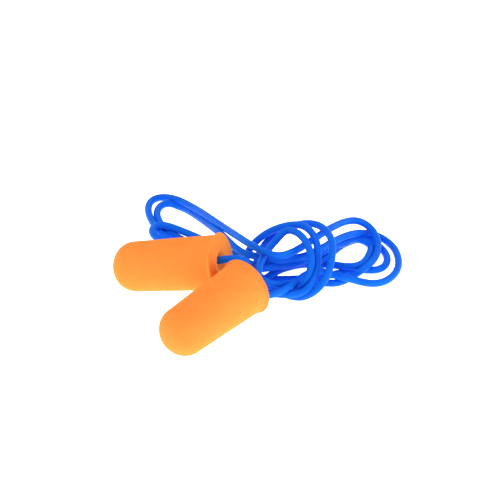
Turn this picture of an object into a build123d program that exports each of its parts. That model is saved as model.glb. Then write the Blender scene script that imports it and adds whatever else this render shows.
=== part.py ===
from build123d import *
import math
import os

# A pair of corded foam ear plugs, with the cord folded into a loose hank and wrapped round its middle.
# Millimetres, +Z up. The origin is on the surface they lie on, at the middle of the box round the two plugs.

# ---- plug: measured along its own axis from the outer face, which the cord leaves ----
PLUG_LENGTH = 25.0
TIP_RADIUS = 5.4
TIP_DEPTH = 4.9
NECK_RADIUS = 5.95
NECK_DEPTH = 0.75
LIP_RADIUS = 6.42
LIP_DEPTH = 0.3
FACE_RADIUS = 6.0

# ---- funnel in the outer face, and the blind bore under it ----
MOUTH_RADIUS = 2.4
FUNNEL_DEPTH = 1.1
BORE_RADIUS = 0.95
BORE_DEPTH = 12.5

# ---- cord and the adhesive that holds it ----
CORD_DIAMETER = 1.6
CORD_RADIUS = CORD_DIAMETER / 2
CORD_END_DEPTH = 12.0
STRAIGHT_TO_DEPTH = 1.5
GLUE_RISE = 0.2

# ---- where the plugs lie: middle of the outer face in plan, heading and pitch of the axis in degrees ----
REAR_FACE_XY = (6.77, 7.51)
REAR_HEADING = -19.93
REAR_PITCH = 13.09
FRONT_FACE_XY = (12.19, 0.46)
FRONT_HEADING = 48.32
FRONT_PITCH = 7.44

# ---- free cord between each plug and the hank: how far it runs straight out, then its route ----
STRAIGHT_OUT = 1.8
REAR_TAIL_ROUTE = [(12.0, 7.4, 9.9), (14.8, 7.9, 6.6), (18.2, 8.5, 4.3)]
FRONT_TAIL_ROUTE = [(14.8, 5.0, 8.8), (15.0, 8.4, 9.6), (15.4, 11.7, 9.9)]
ARC_SHARE = 0.45

# ---- hank: the wraps in the middle, and a lobe of loops on each side, thinning to one cord ----
WRAP_CENTRE = (21.6, 16.0)
WRAP_HALF_WIDTH = 9.9
WRAP_HALF_DEPTH = 9.2
WRAP_HEIGHT = 12.9
WRAP_ROUNDING = 4.5
LEFT_OUTLINE = [
    (14.0, 12.5), (8.6, 19.0), (0.0, 26.5), (-6.5, 32.0), (-9.6, 38.5), (-10.6, 48.0),
    (-9.6, 54.2), (-6.5, 56.8), (-2.8, 54.6), (1.6, 46.0), (6.2, 34.0), (10.6, 25.0), (16.0, 22.0),
]
LEFT_CORNER = 1.8
LEFT_TOP_NEAR = (14.0, 11.2)
LEFT_TOP_FAR = (57.0, 1.5)
RIGHT_OUTLINE = [
    (25.0, 12.0), (31.0, 14.2), (39.0, 14.0), (42.2, 15.2), (45.2, 19.0), (46.2, 25.0),
    (44.8, 32.0), (41.6, 36.0), (37.8, 36.2), (34.2, 33.4), (30.5, 27.0), (25.0, 22.0),
]
RIGHT_CORNER = 1.5
RIGHT_TOP_NEAR = (27.0, 11.4)
RIGHT_TOP_FAR = (46.4, 1.6)


def direction(heading, pitch):
    """Unit vector along a plug's axis, out of its outer face."""
    turn = math.radians(heading)
    tilt = math.radians(pitch)
    return Vector(math.cos(tilt) * math.cos(turn), math.cos(tilt) * math.sin(turn), math.sin(tilt))


def face_height(pitch):
    """Height of the outer face's middle when the tip's dome rests on the surface."""
    tilt = math.radians(pitch)
    dome = math.hypot(TIP_DEPTH * math.sin(tilt), TIP_RADIUS * math.cos(tilt))
    return (PLUG_LENGTH - TIP_DEPTH) * math.sin(tilt) + dome


def plug_plane(face_xy, heading, pitch):
    """Plane on a plug's outer face: Z out of the face, X level."""
    turn = math.radians(heading)
    return Plane(
        origin=(face_xy[0], face_xy[1], face_height(pitch)),
        x_dir=(-math.sin(turn), math.cos(turn), 0),
        z_dir=direction(heading, pitch),
    )


def turned(build_outline):
    """Solid of revolution about Z of the outline that build_outline draws in radius and height."""
    with BuildPart() as solid:
        with BuildSketch(Plane.XZ):
            with BuildLine():
                build_outline()
            make_face()
        revolve(axis=Axis.Z)
    return solid.part


def foam_outline():
    """Half section of a plug: domed tip, slightly flared body, rounded lip, funnel and blind bore."""
    EllipticalCenterArc((0, TIP_DEPTH - PLUG_LENGTH), TIP_RADIUS, TIP_DEPTH, start_angle=270, arc_size=90)
    Line((TIP_RADIUS, TIP_DEPTH - PLUG_LENGTH), (NECK_RADIUS, -NECK_DEPTH))
    Line((NECK_RADIUS, -NECK_DEPTH), (LIP_RADIUS, -LIP_DEPTH))
    ThreePointArc((LIP_RADIUS, -LIP_DEPTH), (LIP_RADIUS - 0.12, -LIP_DEPTH / 3), (FACE_RADIUS, 0))
    Polyline(
        (FACE_RADIUS, 0),
        (MOUTH_RADIUS, 0),
        (BORE_RADIUS, -FUNNEL_DEPTH),
        (BORE_RADIUS, -BORE_DEPTH),
        (0, -BORE_DEPTH),
        (0, -PLUG_LENGTH),
    )


def glue_outline():
    """Half section of the adhesive: a sleeve round the cord's end, closed below, with a fillet at the top."""
    rise_radius = BORE_RADIUS + (MOUTH_RADIUS - BORE_RADIUS) * GLUE_RISE / FUNNEL_DEPTH
    Polyline(
        (0, -BORE_DEPTH),
        (BORE_RADIUS, -BORE_DEPTH),
        (BORE_RADIUS, -FUNNEL_DEPTH),
        (rise_radius, GLUE_RISE - FUNNEL_DEPTH),
        (CORD_RADIUS, GLUE_RISE - FUNNEL_DEPTH),
        (CORD_RADIUS, -CORD_END_DEPTH),
        (0, -CORD_END_DEPTH),
        (0, -BORE_DEPTH),
    )


def cord_end():
    """Straight end of the cord, glued in the bore."""
    length = CORD_END_DEPTH - STRAIGHT_TO_DEPTH
    return Pos(0, 0, -STRAIGHT_TO_DEPTH - length / 2) * Cylinder(CORD_RADIUS, length)


def arc_radii(points):
    """Radius of the arc at each corner of a route, as large as its two runs allow."""
    runs = [Vector(*b) - Vector(*a) for a, b in zip(points, points[1:])]
    radii = []
    for before, after in zip(runs, runs[1:]):
        half_turn = math.radians(before.get_angle(after)) / 2
        radii.append(ARC_SHARE * min(before.length, after.length) / math.tan(half_turn))
    return radii


def cord_tube(name, points):
    """Tube along a route of straight runs joined by tangent arcs."""
    radii = arc_radii(points)
    path = FilletPolyline(*points, radius=radii)
    section = Plane(origin=path @ 0, z_dir=path % 0) * Circle(CORD_RADIUS)
    tube = sweep(section, path=path)
    expected = math.pi * CORD_RADIUS**2 * path.length
    print(f"{name}: radii {[round(r, 1) for r in radii]}, length {path.length:.1f},",
          f"volume {tube.volume:.2f} of {expected:.2f}")
    return tube


def tail(name, plane, route, body):
    """Free cord from a plug's funnel to the face of the hank, where it joins the wraps."""
    start = plane.origin - plane.z_dir * STRAIGHT_TO_DEPTH
    straight = plane.origin + plane.z_dir * STRAIGHT_OUT
    return cord_tube(name, [tuple(start), tuple(straight), *route]) - body


def lobe(outline, corner, near, far, along):
    """Lobe of loops: a flat outline stood on the surface under a sloping top.

    near and far are (distance, height) of the top, measured along X or Y.
    """
    with BuildPart() as solid:
        with BuildSketch():
            with BuildLine():
                FilletPolyline(*outline, radius=corner, close=True)
            make_face()
        extrude(amount=WRAP_HEIGHT)
    rise = Vector(*along) * (far[0] - near[0]) + Vector(0, 0, far[1] - near[1])
    level = Vector(0, 0, 1).cross(Vector(*along))
    top = Plane(
        origin=Vector(*along) * near[0] + Vector(0, 0, near[1]),
        x_dir=level,
        z_dir=rise.cross(level) * (1 if rise.cross(level).Z > 0 else -1),
    )
    return split(solid.part, bisect_by=top, keep=Keep.BOTTOM)


def hank():
    """Outer shape of the wrapped hank, one closed solid standing on the surface."""
    wraps = Pos(*WRAP_CENTRE, 0) * extrude(Ellipse(WRAP_HALF_WIDTH, WRAP_HALF_DEPTH), amount=WRAP_HEIGHT)
    wraps = fillet(wraps.edges().group_by(Axis.Z)[-1], WRAP_ROUNDING)
    left = lobe(LEFT_OUTLINE, LEFT_CORNER, LEFT_TOP_NEAR, LEFT_TOP_FAR, (0, 1, 0))
    right = lobe(RIGHT_OUTLINE, RIGHT_CORNER, RIGHT_TOP_NEAR, RIGHT_TOP_FAR, (1, 0, 0))
    return wraps + left + right


def main():
    os.makedirs("parts", exist_ok=True)
    foam = turned(foam_outline)
    glue = turned(glue_outline)
    end = cord_end()
    places = {
        "rear": (plug_plane(REAR_FACE_XY, REAR_HEADING, REAR_PITCH), REAR_TAIL_ROUTE),
        "front": (plug_plane(FRONT_FACE_XY, FRONT_HEADING, FRONT_PITCH), FRONT_TAIL_ROUTE),
    }
    wrapped = hank()
    nodes = {"cord_hank": wrapped}
    for side, (plane, route) in places.items():
        nodes[f"{side}_plug"] = plane.location * foam
        nodes[f"{side}_adhesive"] = plane.location * glue
        nodes[f"{side}_cord_end"] = plane.location * end
        nodes[f"{side}_cord_tail"] = tail(f"{side}_cord_tail", plane, route, wrapped)
    for name, solid in nodes.items():
        solid.label = name
        export_step(solid, f"parts/{name}.step")


main()
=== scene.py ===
import math

import bpy
from mathutils import Matrix, Vector, noise


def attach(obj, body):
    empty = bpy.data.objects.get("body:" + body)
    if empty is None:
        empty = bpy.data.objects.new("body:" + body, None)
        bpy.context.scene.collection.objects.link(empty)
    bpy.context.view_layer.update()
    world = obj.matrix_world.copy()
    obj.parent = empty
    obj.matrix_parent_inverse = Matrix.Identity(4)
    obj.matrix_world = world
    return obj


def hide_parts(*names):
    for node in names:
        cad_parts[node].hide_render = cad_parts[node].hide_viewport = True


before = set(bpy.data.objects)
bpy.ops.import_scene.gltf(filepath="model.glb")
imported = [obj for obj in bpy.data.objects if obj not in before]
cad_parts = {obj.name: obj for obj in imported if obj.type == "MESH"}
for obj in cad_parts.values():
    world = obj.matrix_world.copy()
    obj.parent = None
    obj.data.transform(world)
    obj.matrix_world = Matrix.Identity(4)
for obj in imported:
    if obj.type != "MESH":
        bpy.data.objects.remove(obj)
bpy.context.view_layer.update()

# A pair of corded foam ear plugs: foam, vinyl cord and adhesive, in a plain pale studio.
# Sizes and points are in millimetres, in the part's frame, and everything handed to Blender is in metres.
# Only the lights, the floor and the materials' textures have their numbers in metres from the start.

MM = 0.001

# ---- plug, along its own axis from the outer face that the cord leaves ----
PLUG_LENGTH = 25.0
TIP_RADIUS = 5.4
TIP_DEPTH = 4.9
NECK_RADIUS = 5.95
NECK_DEPTH = 0.75
LIP_RADIUS = 6.42
LIP_DEPTH = 0.2
LIP_ROUNDING = 0.3
FACE_RADIUS = 6.0
MOUTH_RADIUS = 2.5
THROAT_RADIUS = 2.0
FUNNEL_DEPTH = 1.1
BORE_RADIUS = 0.95
BORE_DEPTH = 12.5
PLUG_SEGMENTS = 160

# ---- where the plugs lie: middle of the outer face in plan, heading and pitch of the axis in degrees ----
REAR_FACE_XY = (6.77, 7.51)
REAR_HEADING = -19.93
REAR_PITCH = 13.09
FRONT_FACE_XY = (12.19, 0.46)
FRONT_HEADING = 48.32
FRONT_PITCH = 7.44

# ---- unevenness of the turned pieces: height and width of swells and of ripples, and each piece's seed ----
SWELL = 0.05
SWELL_SIZE = 5.0
RIPPLE = 0.012
RIPPLE_SIZE = 0.8
FOAM_SEEDS = {"rear": 1.7, "front": 5.3}
BEAD_SEEDS = {"rear": 2.9, "front": 7.1}

# ---- cord ----
CORD_DIAMETER = 1.6
CORD_RADIUS = CORD_DIAMETER / 2

# distances along a plug's axis from its outer face: the glued end, the way out of the front plug, and the way
# out of the rear plug with the cord's height above the axis
CORD_IN_BORE = (-12.0, -9.0, -6.5, -4.0)
FRONT_EXIT = (2.6, -0.5)
REAR_LEAN = ((-2.4, 0.1), (1.2, 0.8))

# ---- adhesive bead: how far its outline is past the bore's and the cord's radius, and at what height ----
BEAD_BOTTOM = -2.4
BEAD_TOP = -0.7
BEAD_ON_FOAM = [(-0.1, BEAD_BOTTOM), (0.02, -2.0), (0.02, -1.2), (0.2, -0.88), (0.15, -0.82), (0.05, -0.86)]
BEAD_ON_CORD = [(0.09, -0.84), (-0.01, -0.75), (-0.05, BEAD_TOP)]
BEAD_SEGMENTS = 48

# ---- the cord's route, in the order it runs from the rear plug to the front one ----
REAR_TAIL = [
    (10.5, 7.3, 10.9), (12.1, 7.4, 10), (13.3, 9, 7.6), (15, 7.7, 6), (16.7, 7.2, 5), (19, 8.6, 3.9),
    (21.6, 10.5, 3.1), (24.2, 13.3, 1.9), (26.8, 14.8, 1.1), (29.2, 15.1, 0.8),
]
RIGHT_LOOP_1 = [
    (31.3, 14.9, 0.8), (33.3, 16.2, 0.8), (34.8, 17.7, 1), (36.6, 18.5, 1.8), (38.3, 20, 2.3),
    (39.8, 23.1, 2.4), (40.7, 26.6, 2.5), (40.8, 29.7, 2.8), (40.3, 32.1, 3.4), (39.4, 33.8, 4.2),
    (37.7, 34.7, 5.2), (35.8, 33.8, 6.3), (33.5, 31.2, 7.3), (31.5, 27.7, 8.2), (29.9, 24.8, 8.8),
]
PASS_1 = [
    (28.4, 22.2, 9.1), (26.7, 19.6, 9.2), (25.1, 17.4, 9.2), (23.6, 15.3, 9.2), (21.8, 12.9, 9.4),
    (19.9, 11.2, 9.6), (18, 10.4, 10), (15.8, 11.3, 10.4), (13.9, 13.2, 10.6),
]
LEFT_LOOP_1 = [
    (12.2, 15.8, 10.3), (10.3, 20.6, 9.2), (7.6, 28.1, 7.2), (4.8, 34.7, 5.8), (1.6, 42.9, 3.9),
    (-1.3, 49, 2.5), (-3.7, 52.4, 1.9), (-5.9, 55.2, 0.9), (-7.6, 55.2, 0.8), (-9.1, 53.8, 0.8),
    (-9.8, 51.1, 0.8), (-9.7, 47.7, 0.8), (-8.9, 44, 0.8), (-7.8, 40.5, 0.8), (-6.5, 37.2, 0.8),
    (-4.7, 34.3, 0.8), (-2, 31.5, 0.8), (1.5, 28.4, 0.8), (5, 25.2, 0.8), (7.7, 21.6, 1.6),
    (9.8, 17.2, 2.6),
]
PASS_2 = [
    (10.2, 12.4, 3.1), (11, 7.3, 3.7), (13, 4.2, 3.9), (15.2, 3.5, 3.8), (17.4, 4.6, 3.6),
    (19.2, 5.9, 3.6), (21, 7.5, 3.8), (22.7, 9.9, 3.9), (24.2, 12.3, 3.9), (25.9, 14.6, 3.7),
    (27.9, 16, 3.3), (30.3, 15.5, 2.8), (32.6, 14.9, 2.3),
]
RIGHT_LOOP_2 = [
    (34.8, 15.5, 1.5), (36.7, 15.6, 0.8), (38.9, 14.8, 0.8), (41, 15.1, 0.8), (43, 16.9, 0.8),
    (44.5, 19.9, 0.8), (45.2, 23.5, 0.8), (45.1, 27.4, 0.8), (44.4, 31.2, 0.8), (42.8, 34.5, 0.8),
    (41, 35.8, 1.3), (38.9, 35.1, 2.3), (36.8, 32.6, 3.8), (34.6, 28.8, 5.4), (32.4, 25.2, 6.4),
    (30.4, 22.1, 6.9),
]
PASS_3 = [
    (28.8, 19.8, 7.1), (27, 17.7, 7.1), (25.1, 16.1, 7), (22.9, 15.1, 6.9), (20.6, 14.6, 6.8),
    (18.2, 13.8, 6.9), (16, 14.1, 7.1), (14, 15.3, 7.3), (12.2, 15.7, 7.4),
]
LEFT_LOOP_2 = [
    (10.6, 17.4, 7.4), (8.8, 21.1, 7.1), (6.9, 26.9, 6.2), (4.4, 34.3, 4.5), (1.6, 42, 2.7),
    (-0.9, 48.1, 1.3), (-2.8, 50.7, 0.8), (-4.6, 52.3, 0.8), (-6.1, 52.2, 0.8), (-7.2, 50.9, 0.8),
    (-7.8, 48.6, 0.8), (-7.7, 45.9, 0.8), (-7, 43, 0.8), (-6, 40.2, 0.8), (-4.5, 37.9, 0.8),
    (-2.6, 35.7, 0.8), (0, 33, 0.8), (3.3, 30, 0.8), (6.5, 27, 0.8), (9.4, 23.3, 0.9),
]
PASS_4 = [
    (11.9, 17.5, 2.2), (14.2, 14.8, 2.4), (16.9, 14.4, 2.1), (19.9, 15.4, 1.5), (23.2, 16.7, 0.9),
    (26.4, 17.6, 0.8), (29.7, 18.5, 0.8), (32.3, 19.6, 0.8), (34.5, 20.8, 0.8),
]
RIGHT_LOOP_3 = [
    (36.4, 21.4, 0.8), (38.4, 20.9, 0.8), (40.5, 21, 0.8), (42.1, 22.6, 0.8), (42.8, 25.5, 0.8),
    (42.5, 28.6, 0.8), (41.3, 31.6, 0.8), (39.7, 34, 0.9), (37.8, 34.4, 1.3), (35.6, 33.2, 1.7),
    (33.5, 29.9, 2.5), (31.9, 26.4, 3.3), (30.6, 23.4, 3.6),
]
PASS_5 = [
    (29.3, 20.9, 3.7), (27.3, 19.5, 3.7), (24.9, 19, 3.7), (22.5, 18.6, 3.8), (20.2, 17.2, 4.3),
    (17.8, 16.4, 4.4), (15.6, 15.3, 4.7), (13.7, 15.8, 4.7), (11.9, 18.4, 4.3),
]
LEFT_LOOP_3 = [
    (9.6, 21.9, 3.9), (7.2, 25.9, 3.2), (4.1, 29.9, 2.7), (1.1, 33.5, 2.3), (-1.6, 35.9, 2.3),
    (-4, 37.9, 2.3), (-6, 39.1, 2.3), (-7.5, 39, 2.3), (-8.4, 37.9, 2.3), (-8.7, 36.1, 2.3),
    (-8.2, 34.2, 2.3), (-7, 32.9, 1.9), (-5.5, 32.1, 1.3), (-3.3, 30.6, 0.8), (-0.2, 27.4, 0.8),
    (3.3, 24.3, 0.8), (7, 20.7, 0.8), (9.8, 17.7, 0.8), (12.1, 15.2, 0.9),
]
PASS_6 = [
    (14.1, 12.8, 2), (15.9, 12.6, 3), (17.5, 14.2, 3.4), (19.4, 17, 3), (21.4, 19.2, 2.5),
    (23.4, 20.6, 2.3), (25.8, 21.1, 2.2), (28.4, 21.1, 2.2), (31.2, 20.5, 2.3), (33.6, 19.7, 2.3),
]
RIGHT_LOOP_4 = [
    (35.9, 19.9, 2.3), (37.7, 21.7, 2.4), (38.6, 24.5, 2.4), (39.2, 27.4, 2.2), (39.3, 30.2, 1.8),
    (38.1, 31.8, 2.1), (36.5, 32, 2.5), (35.1, 30.6, 3.2), (33.7, 27.3, 4.1), (31.5, 24.5, 5),
]
PASS_7 = [
    (29.7, 22.2, 5.3), (27.7, 20, 5.3), (25.5, 17.9, 5.2), (23.2, 16.4, 5), (20.8, 15.8, 4.8),
    (18.4, 14, 5.4),
]
LEAD_IN = [
    (16.3, 11.7, 6.2), (14.3, 11, 6.4), (13.1, 10.5, 5.5), (12.6, 9.9, 4.3), (13.4, 9.1, 2.8),
    (15.4, 8.2, 2.1), (18.6, 7.5, 2.2),
]
LEAD_OUT = [
    (19.9, 19.1, 11), (18.9, 18.4, 10), (17.8, 17.4, 9.2), (16.8, 15.5, 8.8), (15.9, 13.4, 8.6),
    (15.3, 11, 8.5), (14.8, 7.9, 8.7), (14.7, 5.4, 8.7),
]

# the turns round the bundle, each with its centre and the middles of its sides: below, right, above, left
TURNS = [
    ((21.3, 16.3, 5.9), [(22.2, 7.1, 2.2), (27.4, 12.5, 7.9), (22.7, 21, 12.2), (11.4, 22.9, 1.9)]),
    ((23.4, 16.7, 5.9), [(22.9, 7.9, 0.8), (30.5, 11.2, 9), (25.4, 24, 10.9), (14.2, 21.7, 3.2)]),
    ((21.4, 17, 5.9), [(21.2, 11.5, 0.8), (26.1, 10.3, 8.6), (21.5, 19, 11.8)]),
]
POINTS_PER_SIDE = 3

# ---- camera ----
AIM = (12.85, 31.73, 0.0)
CAMERA_ELEVATION = 28.0
CAMERA_DISTANCE = 1000.0
VIEW_WIDTH = 109.4
SENSOR_WIDTH = 36.0

# ---- light: a glowing floor, white surroundings, a key light above and a fill light low on the right ----
FLOOR_HALF_WIDTH = 3.0
FLOOR_GLOW = 1.3
SURROUNDINGS = 0.75
KEY = {"direction": (-0.35, -0.25, 1.0), "distance": 0.7, "size": 0.35, "power": 1.4}
FILL = {"direction": (1.0, -0.35, 0.3), "distance": 0.8, "size": 0.5, "power": 1.6}

# ---- colours: the darker and the lighter tone of each material, and the levels of noise that give them ----
TONE_LEVELS = (0.3, 0.7)
FOAM_TONES = ((0.94, 0.254, 0.043), (0.96, 0.280, 0.055))
VINYL_TONES = ((0.003, 0.119, 0.71), (0.006, 0.150, 0.79))
ADHESIVE_TONES = ((0.86, 0.17, 0.03), (0.94, 0.23, 0.045))
PAPER_TONES = ((0.93, 0.93, 0.93), (0.95, 0.95, 0.95))


def in_metres(point):
    """A point in millimetres as a vector in metres."""
    return Vector(point) * MM


def axis_of(heading, pitch):
    """Unit vector along a plug's axis, out of its outer face."""
    turn = math.radians(heading)
    tilt = math.radians(pitch)
    return Vector((math.cos(tilt) * math.cos(turn), math.cos(tilt) * math.sin(turn), math.sin(tilt)))


def face_of(xy, pitch):
    """Middle of a plug's outer face when the tip's dome rests on the surface."""
    tilt = math.radians(pitch)
    dome = math.hypot(TIP_DEPTH * math.sin(tilt), TIP_RADIUS * math.cos(tilt))
    return Vector((xy[0], xy[1], (PLUG_LENGTH - TIP_DEPTH) * math.sin(tilt) + dome))


REAR_FACE = face_of(REAR_FACE_XY, REAR_PITCH)
REAR_AXIS = axis_of(REAR_HEADING, REAR_PITCH)
FRONT_FACE = face_of(FRONT_FACE_XY, FRONT_PITCH)
FRONT_AXIS = axis_of(FRONT_HEADING, FRONT_PITCH)
PLUG_PLACES = {
    "rear": (REAR_FACE, REAR_AXIS, REAR_HEADING),
    "front": (FRONT_FACE, FRONT_AXIS, FRONT_HEADING),
}


def make_camera():
    """Camera at the height and side that the object is shown from."""
    data = bpy.data.cameras.new("camera")
    data.sensor_width = SENSOR_WIDTH
    data.lens = SENSOR_WIDTH * CAMERA_DISTANCE / VIEW_WIDTH
    data.clip_start = 0.05
    data.clip_end = 20.0
    camera = bpy.data.objects.new("camera", data)
    tilt = math.radians(CAMERA_ELEVATION)
    back = Vector((0.0, -math.cos(tilt), math.sin(tilt)))
    camera.location = in_metres(AIM) + back * CAMERA_DISTANCE * MM
    camera.rotation_euler = (math.radians(90.0 - CAMERA_ELEVATION), 0.0, 0.0)
    bpy.context.scene.collection.objects.link(camera)
    bpy.context.scene.camera = camera


# ---------------------------------------------------------------- materials

def new_material(name):
    """New material, with its nodes, links, shader and the coordinates its textures follow."""
    material = bpy.data.materials.new(name)
    material.use_nodes = True
    tree = material.node_tree
    coordinates = tree.nodes.new("ShaderNodeTexCoord")
    return material, tree.nodes, tree.links, tree.nodes["Principled BSDF"], coordinates.outputs["Object"]


def noise_node(nodes, links, coordinates, scale, detail, roughness=0.5):
    """Output of a noise texture that repeats scale times a metre."""
    texture = nodes.new("ShaderNodeTexNoise")
    texture.inputs["Scale"].default_value = scale
    texture.inputs["Detail"].default_value = detail
    texture.inputs["Roughness"].default_value = roughness
    links.new(coordinates, texture.inputs["Vector"])
    return texture.outputs["Fac"]


def ramp_node(nodes, links, source, stops):
    """Output of a colour ramp with two stops, each a position and a colour."""
    ramp = nodes.new("ShaderNodeValToRGB")
    for element, (position, colour) in zip(ramp.color_ramp.elements, stops):
        element.position = position
        element.color = (*colour, 1.0)
    links.new(source, ramp.inputs["Fac"])
    return ramp.outputs["Color"]


def two_tones(nodes, links, source, tones):
    """Output of a soft blend from the darker tone to the lighter one."""
    return ramp_node(nodes, links, source, zip(TONE_LEVELS, tones))


def grey(level):
    """The grey of that level."""
    return (level, level, level)


def add_bump(nodes, links, shader, height, strength, distance):
    """Fine relief on the surface, distance metres high at full height."""
    bump = nodes.new("ShaderNodeBump")
    bump.inputs["Strength"].default_value = strength
    bump.inputs["Distance"].default_value = distance
    links.new(height, bump.inputs["Height"])
    links.new(bump.outputs["Normal"], shader.inputs["Normal"])


def multiplied_colours(nodes, links, colour, other, share):
    """Output of a share of one colour multiplied by another."""
    mix = nodes.new("ShaderNodeMix")
    mix.data_type = "RGBA"
    mix.blend_type = "MULTIPLY"
    mix.inputs["Factor"].default_value = share
    first, second = [socket for socket in mix.inputs if socket.type == "RGBA"]
    links.new(colour, first)
    links.new(other, second)
    return next(socket for socket in mix.outputs if socket.type == "RGBA")


def foam_material():
    """Soft matt foam: mottled orange, open pores with painted shade in their middles, fine grain."""
    material, nodes, links, shader, coordinates = new_material("foam")
    mottle = noise_node(nodes, links, coordinates, scale=260.0, detail=5.0, roughness=0.6)
    pores = nodes.new("ShaderNodeTexVoronoi")
    pores.inputs["Scale"].default_value = 4200.0
    links.new(coordinates, pores.inputs["Vector"])
    pits_and_painted_shade = ramp_node(nodes, links, pores.outputs["Distance"], [(0.0, grey(0.0)), (0.45, grey(1.0))])
    colour = two_tones(nodes, links, mottle, FOAM_TONES)
    # painted shade: the foam's colour is darkened by a tenth at the middle of each pore, where the bump dips
    links.new(multiplied_colours(nodes, links, colour, pits_and_painted_shade, share=0.10), shader.inputs["Base Color"])
    grain = noise_node(nodes, links, coordinates, scale=2600.0, detail=6.0, roughness=0.65)
    relief = nodes.new("ShaderNodeMath")
    relief.operation = "MULTIPLY"
    links.new(pits_and_painted_shade, relief.inputs[0])
    links.new(grain, relief.inputs[1])
    add_bump(nodes, links, shader, relief.outputs[0], strength=0.35, distance=0.00006)
    shader.inputs["Roughness"].default_value = 0.9
    shader.inputs["Specular IOR Level"].default_value = 0.04
    shader.inputs["Subsurface Weight"].default_value = 0.25
    shader.inputs["Subsurface Radius"].default_value = (1.0, 0.35, 0.1)
    shader.inputs["Subsurface Scale"].default_value = 0.0012
    return material


def vinyl_material():
    """Smooth soft vinyl: bright blue, satin gloss, faint drawing marks."""
    material, nodes, links, shader, coordinates = new_material("vinyl")
    cloud = noise_node(nodes, links, coordinates, scale=160.0, detail=3.0)
    links.new(two_tones(nodes, links, cloud, VINYL_TONES), shader.inputs["Base Color"])
    marks = noise_node(nodes, links, coordinates, scale=1500.0, detail=4.0)
    add_bump(nodes, links, shader, marks, strength=0.12, distance=0.00004)
    gloss = ramp_node(nodes, links, marks, [(0.2, grey(0.34)), (0.8, grey(0.46))])
    links.new(gloss, shader.inputs["Roughness"])
    shader.inputs["Specular IOR Level"].default_value = 0.05
    return material


def adhesive_material():
    """Glossy cured adhesive, as orange as the foam it soaks into."""
    material, nodes, links, shader, coordinates = new_material("adhesive")
    cloud = noise_node(nodes, links, coordinates, scale=900.0, detail=3.0)
    links.new(two_tones(nodes, links, cloud, ADHESIVE_TONES), shader.inputs["Base Color"])
    add_bump(nodes, links, shader, cloud, strength=0.3, distance=0.00008)
    shader.inputs["Roughness"].default_value = 0.18
    return material


def paper_material():
    """White paper that glows, so that the floor stays white under the object."""
    material, nodes, links, shader, coordinates = new_material("paper")
    cloud = noise_node(nodes, links, coordinates, scale=6.0, detail=2.0)
    links.new(two_tones(nodes, links, cloud, PAPER_TONES), shader.inputs["Base Color"])
    shader.inputs["Roughness"].default_value = 0.9
    shader.inputs["Specular IOR Level"].default_value = 0.1
    shader.inputs["Emission Color"].default_value = (1.0, 1.0, 1.0, 1.0)
    shader.inputs["Emission Strength"].default_value = FLOOR_GLOW
    return material


# ---------------------------------------------------------------- cord

def turn_points():
    """Control points of the turns: a quarter of an ellipse from each side to the next, above the floor."""
    sides = [(Vector(centre), Vector(side)) for centre, turn in TURNS for side in turn]
    points = []
    for (centre, side), (_, following) in zip(sides, sides[1:]):
        for step in range(POINTS_PER_SIDE):
            angle = math.radians(90.0 * step / POINTS_PER_SIDE)
            point = centre + (side - centre) * math.cos(angle) + (following - centre) * math.sin(angle)
            point.z = max(point.z, CORD_RADIUS)
            points.append(point)
    return points + [sides[-1][1]]


def cord_route():
    """All the cord's control points, in millimetres."""
    route = [REAR_FACE + REAR_AXIS * step for step in CORD_IN_BORE]
    route += [REAR_FACE + REAR_AXIS * step + Vector((0.0, 0.0, lean)) for step, lean in REAR_LEAN]
    for stretch in (
        REAR_TAIL, RIGHT_LOOP_1, PASS_1, LEFT_LOOP_1, PASS_2, RIGHT_LOOP_2, PASS_3, LEFT_LOOP_2, PASS_4,
        RIGHT_LOOP_3, PASS_5, LEFT_LOOP_3, PASS_6, RIGHT_LOOP_4, PASS_7, LEAD_IN, turn_points(), LEAD_OUT,
    ):
        route += stretch
    route += [FRONT_FACE + FRONT_AXIS * step for step in FRONT_EXIT]
    route += [FRONT_FACE + FRONT_AXIS * step for step in reversed(CORD_IN_BORE)]
    return route


def make_cord(material):
    """The cord: one smooth tube from plug to plug."""
    data = bpy.data.curves.new("cord", "CURVE")
    data.dimensions = "3D"
    data.bevel_depth = CORD_RADIUS * MM
    data.bevel_resolution = 6
    data.resolution_u = 8
    data.use_fill_caps = True
    spline = data.splines.new("NURBS")
    route = cord_route()
    spline.points.add(len(route) - 1)
    for point, place in zip(spline.points, route):
        point.co = (*in_metres(place), 1.0)
    spline.order_u = 3
    spline.use_endpoint_u = True
    data.materials.append(material)
    cord = bpy.data.objects.new("cord", data)
    bpy.context.scene.collection.objects.link(cord)
    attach(cord, "root")
    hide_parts("cord_hank", "rear_cord_tail", "front_cord_tail", "rear_cord_end", "front_cord_end")


# ---------------------------------------------------------------- plugs

def arc(centre, radii, start, end, steps):
    """Points on an ellipse's arc, in (radius, height along the axis)."""
    points = []
    for step in range(steps + 1):
        turn = math.radians(start + (end - start) * step / steps)
        points.append((centre[0] + radii[0] * math.cos(turn), centre[1] + radii[1] * math.sin(turn)))
    return points


def line(start, end, steps):
    """Evenly spaced points from start to end, without either."""
    return [
        (start[0] + (end[0] - start[0]) * step / steps, start[1] + (end[1] - start[1]) * step / steps)
        for step in range(1, steps)
    ]


def curve(start, bend, end, steps):
    """Points of one smooth curve from start to end, pulled towards bend, without start."""
    points = []
    for step in range(1, steps + 1):
        part = step / steps
        points.append(tuple(
            (1 - part) ** 2 * start[axis] + 2 * part * (1 - part) * bend[axis] + part ** 2 * end[axis]
            for axis in (0, 1)
        ))
    return points


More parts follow.
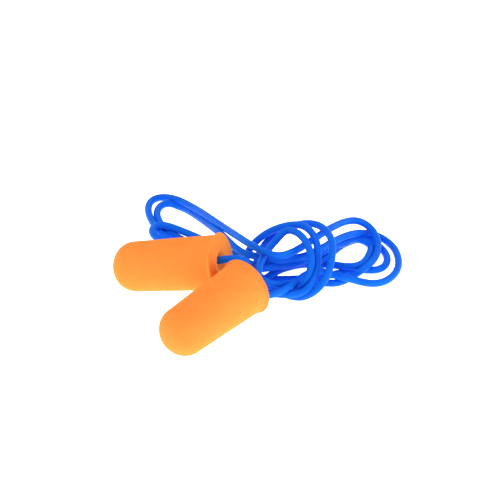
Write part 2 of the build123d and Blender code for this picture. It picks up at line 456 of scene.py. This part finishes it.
def plug_profile():
    """Half section of the foam: dome, tapered body, lip, face, funnel, bore."""
    dome_edge = (TIP_RADIUS, TIP_DEPTH - PLUG_LENGTH)
    neck = (NECK_RADIUS, -NECK_DEPTH)
    lip = (LIP_RADIUS, -LIP_DEPTH)
    mouth = (MOUTH_RADIUS, 0.0)
    bore_top = (BORE_RADIUS, -FUNNEL_DEPTH)
    bore_bottom = (BORE_RADIUS, -BORE_DEPTH)
    profile = arc((0.0, dome_edge[1]), (TIP_RADIUS, TIP_DEPTH), -90.0, 0.0, steps=18)
    profile += line(dome_edge, neck, steps=44)
    profile += [neck] + line(neck, lip, steps=4)
    profile += arc((LIP_RADIUS - LIP_ROUNDING, -LIP_DEPTH), (LIP_ROUNDING, LIP_ROUNDING), -30.0, 0.0, steps=3)
    profile += arc((FACE_RADIUS, -LIP_DEPTH), (LIP_RADIUS - FACE_RADIUS, LIP_DEPTH), 5.0, 90.0, steps=9)
    profile += line((FACE_RADIUS, 0.0), mouth, steps=6)
    profile += curve(mouth, (THROAT_RADIUS, 0.0), bore_top, steps=18)
    profile += line(bore_top, bore_bottom, steps=4)
    profile += [bore_bottom, (BORE_RADIUS / 2, -BORE_DEPTH), (0.0, -BORE_DEPTH)]
    return profile


def bead_profile():
    """Half section of the adhesive: a plug round the cord's end, drawn up the foam and the cord."""
    profile = [(0.0, BEAD_BOTTOM)]
    profile += [(BORE_RADIUS + past, height) for past, height in BEAD_ON_FOAM]
    profile += [(CORD_RADIUS + past, height) for past, height in BEAD_ON_CORD]
    return profile + [(0.0, BEAD_TOP)]


def lathe(name, profile, segments, material):
    """Closed surface of revolution about Z from a half section that starts and ends on the axis."""
    vertices = [(0.0, 0.0, profile[0][1])]
    for radius, height in profile[1:-1]:
        for step in range(segments):
            turn = 2.0 * math.pi * step / segments
            vertices.append((radius * math.cos(turn), radius * math.sin(turn), height))
    vertices.append((0.0, 0.0, profile[-1][1]))
    rings = len(profile) - 2
    faces = []
    for step in range(segments):
        after = (step + 1) % segments
        faces.append((0, 1 + after, 1 + step))
        for ring in range(rings - 1):
            low = 1 + ring * segments
            high = low + segments
            faces.append((low + step, low + after, high + after, high + step))
        last = 1 + (rings - 1) * segments
        faces.append((last + step, last + after, len(vertices) - 1))
    mesh = bpy.data.meshes.new(name)
    mesh.from_pydata(vertices, [], faces)
    mesh.polygons.foreach_set("use_smooth", [True] * len(mesh.polygons))
    mesh.materials.append(material)
    piece = bpy.data.objects.new(name, mesh)
    bpy.context.scene.collection.objects.link(piece)
    return piece


def roughen(piece, seed):
    """Unevenness of soft foam: slow swells and small ripples along the surface's normals."""
    mesh = piece.data
    shift = Vector((seed, 2.0 * seed, 3.0 * seed))
    normals = [vertex.normal.copy() for vertex in mesh.vertices]
    for vertex, normal in zip(mesh.vertices, normals):
        swell = noise.noise(vertex.co / SWELL_SIZE + shift)
        ripple = noise.noise(vertex.co / RIPPLE_SIZE + shift)
        vertex.co += normal * (SWELL * swell + RIPPLE * ripple)


def place(piece, face, axis, heading):
    """Move a turned piece from its own axis to its plug's, and from millimetres to metres."""
    turn = math.radians(heading)
    across = Vector((-math.sin(turn), math.cos(turn), 0.0))
    side = axis.cross(across)
    rotation = Matrix((across, side, axis)).transposed()
    piece.data.transform(Matrix.Scale(MM, 4) @ (Matrix.Translation(face) @ rotation.to_4x4()))


def make_turned(name, profile, segments, side, seed, material):
    """A turned piece with its unevenness, on the axis of one side's plug."""
    piece = lathe(name, profile, segments, material)
    roughen(piece, seed)
    place(piece, *PLUG_PLACES[side])
    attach(piece, "root")
    return piece


def make_plug(side, material):
    """One foam plug."""
    plug = make_turned(f"{side}_foam", plug_profile(), PLUG_SEGMENTS, side, FOAM_SEEDS[side], material)
    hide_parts(f"{side}_plug")


def make_adhesive(side, material):
    """Cured adhesive round the cord at the funnel's bottom."""
    bead = make_turned(f"{side}_bead", bead_profile(), BEAD_SEGMENTS, side, BEAD_SEEDS[side], material)
    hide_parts(f"{side}_adhesive")


# ---------------------------------------------------------------- studio

def make_floor(material):
    """Plain pale floor."""
    mesh = bpy.data.meshes.new("floor")
    half = FLOOR_HALF_WIDTH
    corners = [(-half, -half, 0.0), (half, -half, 0.0), (half, half, 0.0), (-half, half, 0.0)]
    mesh.from_pydata(corners, [], [(0, 1, 2, 3)])
    mesh.materials.append(material)
    floor = bpy.data.objects.new("floor", mesh)
    bpy.context.scene.collection.objects.link(floor)


def make_light(name, direction, distance, size, power):
    """Square soft light that faces the middle of the object."""
    data = bpy.data.lights.new(name, "AREA")
    data.shape = "SQUARE"
    data.size = size
    data.energy = power
    light = bpy.data.objects.new(name, data)
    towards = Vector(direction).normalized()
    light.location = in_metres(AIM) + towards * distance
    light.rotation_euler = towards.to_track_quat("Z", "Y").to_euler()
    bpy.context.scene.collection.objects.link(light)


def make_studio():
    """White surroundings, the two lights and the floor."""
    world = bpy.data.worlds.new("surroundings")
    world.use_nodes = True
    background = world.node_tree.nodes["Background"]
    background.inputs["Color"].default_value = (1.0, 1.0, 1.0, 1.0)
    background.inputs["Strength"].default_value = SURROUNDINGS
    bpy.context.scene.world = world
    make_light("key", **KEY)
    make_light("fill", **FILL)
    make_floor(paper_material())
    bpy.context.scene.view_settings.view_transform = "Standard"


make_camera()
vinyl = vinyl_material()
foam = foam_material()
adhesive = adhesive_material()
make_cord(vinyl)
for side in PLUG_PLACES:
    make_plug(side, foam)
for side in PLUG_PLACES:
    make_adhesive(side, adhesive)
make_studio()
